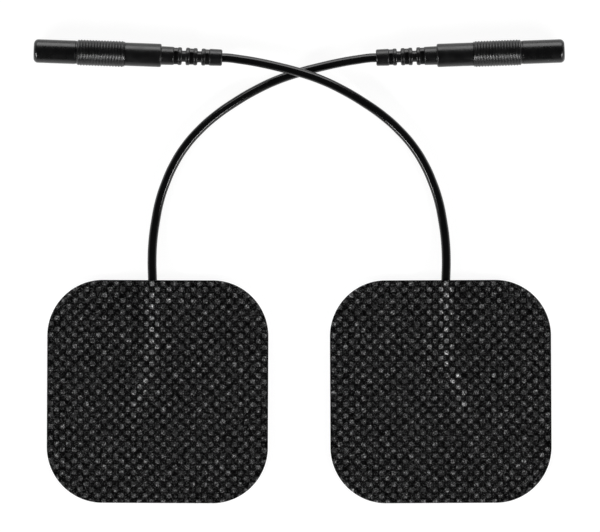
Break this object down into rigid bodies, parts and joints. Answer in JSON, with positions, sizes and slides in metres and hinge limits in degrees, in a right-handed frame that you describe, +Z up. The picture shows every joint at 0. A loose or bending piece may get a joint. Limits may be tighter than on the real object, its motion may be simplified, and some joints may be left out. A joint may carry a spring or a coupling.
{
  "type": "electrode pad pair",
  "caption": "Pair of self-adhesive nerve-stimulation electrode pads on release liners, each with a short lead that crosses the other and ends in a moulded pin socket.",
  "frame": {"origin": "midway between the two pads, on the surface that they lie on", "axes": "+X runs along the pair towards the right pad, +Y from the pads towards the sockets, +Z up out of the fabric backings"},
  "size_m": [0.1194, 0.1043, 0.0058],
  "materials": {
    "liner": "clear polyester film",
    "gel": "clear wet hydrogel",
    "scrim": "open white net",
    "carbon": "matt carbon-filled film",
    "strands": "fine bare strands",
    "tape": "matt tape",
    "backing": "black point-bonded nonwoven",
    "jacket": "glossy black flexible jacket",
    "connector": "satin black moulded",
    "housing": "satin black moulded",
    "contact": "turned brass",
    "conductor": "copper strands"
  },
  "bodies": {
    "release_liners": {"left_release_liner": "liner", "right_release_liner": "liner"},
    "left_electrode": {"left_skin_gel": "gel", "left_gel_scrim": "scrim", "left_upper_gel": "gel", "left_carbon_film": "carbon", "left_wire_strands": "strands", "left_wire_tape": "tape", "left_backing": "backing", "left_lead": "jacket", "left_strain_relief": "connector", "left_grip_sleeve": "connector", "left_socket_housing": "housing", "left_socket_contact": "contact", "left_conductor_end": "conductor"},
    "right_electrode": {"right_skin_gel": "gel", "right_gel_scrim": "scrim", "right_upper_gel": "gel", "right_carbon_film": "carbon", "right_wire_strands": "strands", "right_wire_tape": "tape", "right_backing": "backing", "right_lead": "jacket", "right_strain_relief": "connector", "right_grip_sleeve": "connector", "right_socket_housing": "housing", "right_socket_contact": "contact", "right_conductor_end": "conductor"}
  },
  "joints": [
    {"name": "left_lift", "type": "slide", "parent": "release_liners", "child": "left_electrode", "axis": [0, 0, 1], "range_m": [0, 0.04]},
    {"name": "right_lift", "type": "slide", "parent": "left_electrode", "child": "right_electrode", "axis": [0, 0, 1], "range_m": [0, 0.04]}
  ]
}
